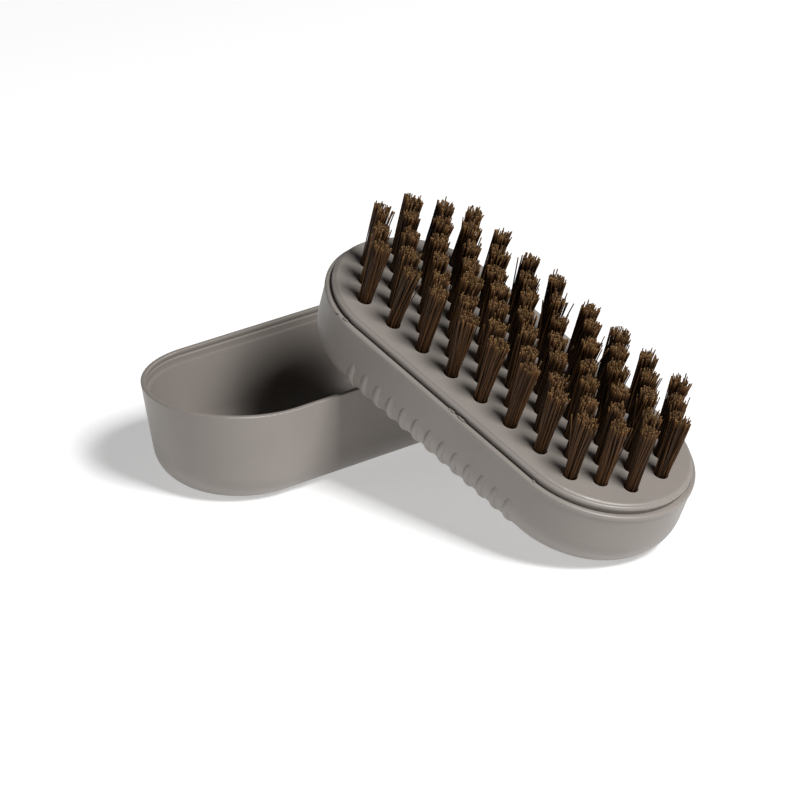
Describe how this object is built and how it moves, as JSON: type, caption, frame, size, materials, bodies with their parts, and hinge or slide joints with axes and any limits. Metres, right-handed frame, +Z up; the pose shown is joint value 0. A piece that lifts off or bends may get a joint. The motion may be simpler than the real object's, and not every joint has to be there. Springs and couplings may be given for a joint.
{
  "type": "pocket bristle brush with cover",
  "caption": "Small pill-shaped bristle brush with stiff tufts and grip ribs, leaning on its own press-on cover, for cleaning mud off tack, coats and boots.",
  "frame": {"origin": "centre of the cover's flat base, on the surface it stands on", "axes": "+Z up out of the cover's open mouth, +X along the cover's long side, -Y towards the lower end of the leaning brush"},
  "size_m": [0.0998, 0.1208, 0.0626],
  "materials": {
    "cover_plastic": "satin moulded taupe plastic",
    "grip_plastic": "satin moulded taupe plastic with grip ribs",
    "plate_plastic": "satin moulded taupe plastic",
    "bristle": "stiff dark brown filament with lighter cut ends",
    "anchor_wire": "bright flat wire"
  },
  "bodies": {
    "cover": {"cover": "cover_plastic"},
    "brush": {"grip_shell": "grip_plastic", "bristle_plate": "plate_plastic", "tufts_01": "bristle", "tufts_02": "bristle", "tufts_03": "bristle", "tufts_04": "bristle", "tufts_05": "bristle", "tufts_06": "bristle", "tufts_07": "bristle", "tufts_08": "bristle", "tufts_09": "bristle", "tufts_10": "bristle", "tufts_11": "bristle", "anchors_01": "anchor_wire", "anchors_02": "anchor_wire", "anchors_03": "anchor_wire", "anchors_04": "anchor_wire", "anchors_05": "anchor_wire", "anchors_06": "anchor_wire", "anchors_07": "anchor_wire", "anchors_08": "anchor_wire", "anchors_09": "anchor_wire", "anchors_10": "anchor_wire", "anchors_11": "anchor_wire"}
  },
  "joints": [
    {"name": "brush_lift", "type": "slide", "parent": "cover", "child": "brush", "axis": [0, 0, 1], "range_m": [0, 0.06]}
  ]
}
